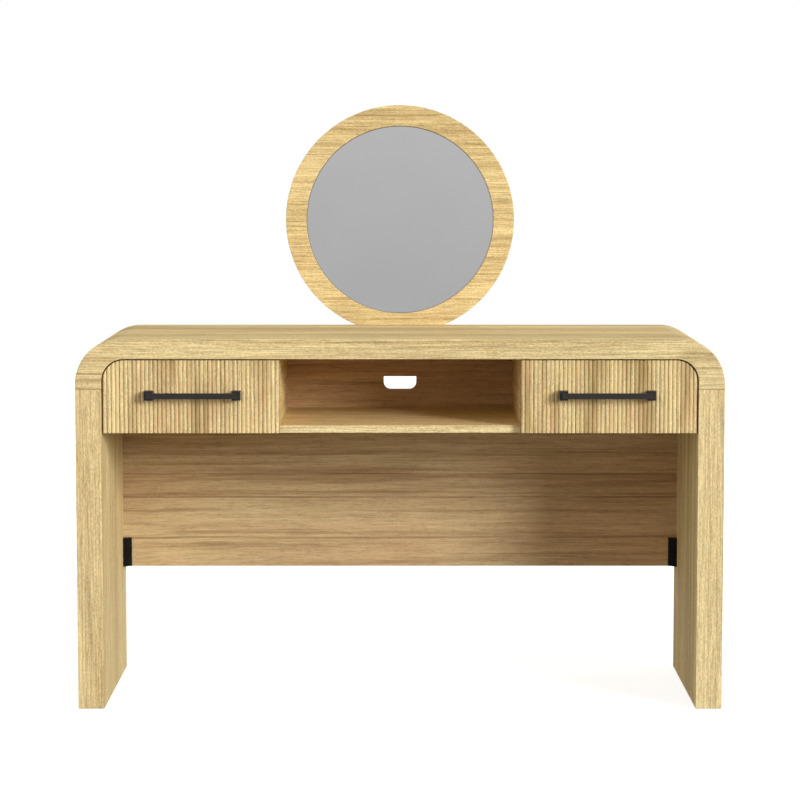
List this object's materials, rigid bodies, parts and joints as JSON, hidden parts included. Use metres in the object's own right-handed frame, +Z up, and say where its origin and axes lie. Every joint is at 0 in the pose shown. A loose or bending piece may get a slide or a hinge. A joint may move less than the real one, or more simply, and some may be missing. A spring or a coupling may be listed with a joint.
{
  "type": "dressing table",
  "caption": "Oak-veneered dressing table with curved top corners, reeded drawers on ball runners, an open compartment and a fixed round mirror.",
  "frame": {"origin": "middle of the footprint at floor level", "axes": "+X along the width to the right as seen from the front, +Y from the front to the rear, +Z up"},
  "size_m": [1.3, 0.483, 1.2219],
  "materials": {
    "oak_top": "satin oak veneer, grain along the width",
    "oak_leg": "satin oak veneer, upright grain",
    "oak_shelf": "satin oak veneer, grain along the width",
    "oak_partition": "satin oak veneer, upright grain",
    "oak_back": "satin oak veneer, grain along the width",
    "oak_front": "satin oak veneer on reeds, upright grain",
    "oak_ring": "satin oak veneer, grain along the width",
    "black_plastic": "fine matt moulding",
    "black_screw": "black",
    "beech": "fluted raw beech",
    "bright_steel": "zinc-plated steel",
    "zinc": "zinc",
    "mirror_glass": "silvered glass",
    "backing_board": "brown hardboard",
    "box_board": "light birch-look foil",
    "dark_metal": "satin charcoal",
    "clear_rubber": "clear soft bumper"
  },
  "bodies": {
    "root": {"tabletop": "oak_top", "leg_panel_left": "oak_leg", "leg_panel_right": "oak_leg", "shelf_board": "oak_shelf", "partition_left": "oak_partition", "partition_right": "oak_partition", "back_panel": "oak_back", "corner_bracket_left": "black_plastic", "corner_bracket_right": "black_plastic", "bracket_screws": "black_screw", "glides": "black_plastic", "seam_dowels": "beech", "carcass_dowels": "beech", "cam_bolts": "bright_steel", "cam_locks": "zinc", "carcass_screws": "zinc", "mirror_ring": "oak_ring", "mirror_glass": "mirror_glass", "mirror_backing": "backing_board", "backing_clips": "bright_steel", "clip_screws": "zinc", "mirror_strap_left": "bright_steel", "mirror_strap_right": "bright_steel", "strap_screws": "zinc", "channel_left_outer": "bright_steel", "channel_left_inner": "bright_steel", "channel_right_inner": "bright_steel", "channel_right_outer": "bright_steel", "channel_screws": "zinc"},
    "left_drawer": {"left_drawer_front": "oak_front", "left_drawer_side_outer": "box_board", "left_drawer_side_inner": "box_board", "left_drawer_back": "box_board", "left_drawer_bottom": "box_board", "left_drawer_handle": "dark_metal", "left_handle_screws": "zinc", "left_drawer_dowels": "beech", "left_runner_outer": "bright_steel", "left_runner_inner": "bright_steel", "left_runner_screws": "zinc", "left_bumpers": "clear_rubber"},
    "left_cages": {"left_cage_outer": "zinc", "left_cage_inner": "zinc", "left_balls": "bright_steel"},
    "right_drawer": {"right_drawer_front": "oak_front", "right_drawer_side_outer": "box_board", "right_drawer_side_inner": "box_board", "right_drawer_back": "box_board", "right_drawer_bottom": "box_board", "right_drawer_handle": "dark_metal", "right_handle_screws": "zinc", "right_drawer_dowels": "beech", "right_runner_outer": "bright_steel", "right_runner_inner": "bright_steel", "right_runner_screws": "zinc", "right_bumpers": "clear_rubber"},
    "right_cages": {"right_cage_outer": "zinc", "right_cage_inner": "zinc", "right_balls": "bright_steel"}
  },
  "joints": [
    {"name": "left_drawer_slide", "type": "slide", "parent": "root", "child": "left_drawer", "axis": [0, -1, 0], "range_m": [0, 0.26]},
    {"name": "left_cage_slide", "type": "slide", "parent": "root", "child": "left_cages", "axis": [0, -1, 0], "range_m": [0, 0.13]},
    {"name": "right_drawer_slide", "type": "slide", "parent": "root", "child": "right_drawer", "axis": [0, -1, 0], "range_m": [0, 0.26]},
    {"name": "right_cage_slide", "type": "slide", "parent": "root", "child": "right_cages", "axis": [0, -1, 0], "range_m": [0, 0.13]}
  ],
  "couplings": [
    {"joint": "left_cage_slide", "follows": "left_drawer_slide", "ratio": 0.5},
    {"joint": "right_cage_slide", "follows": "right_drawer_slide", "ratio": 0.5}
  ]
}
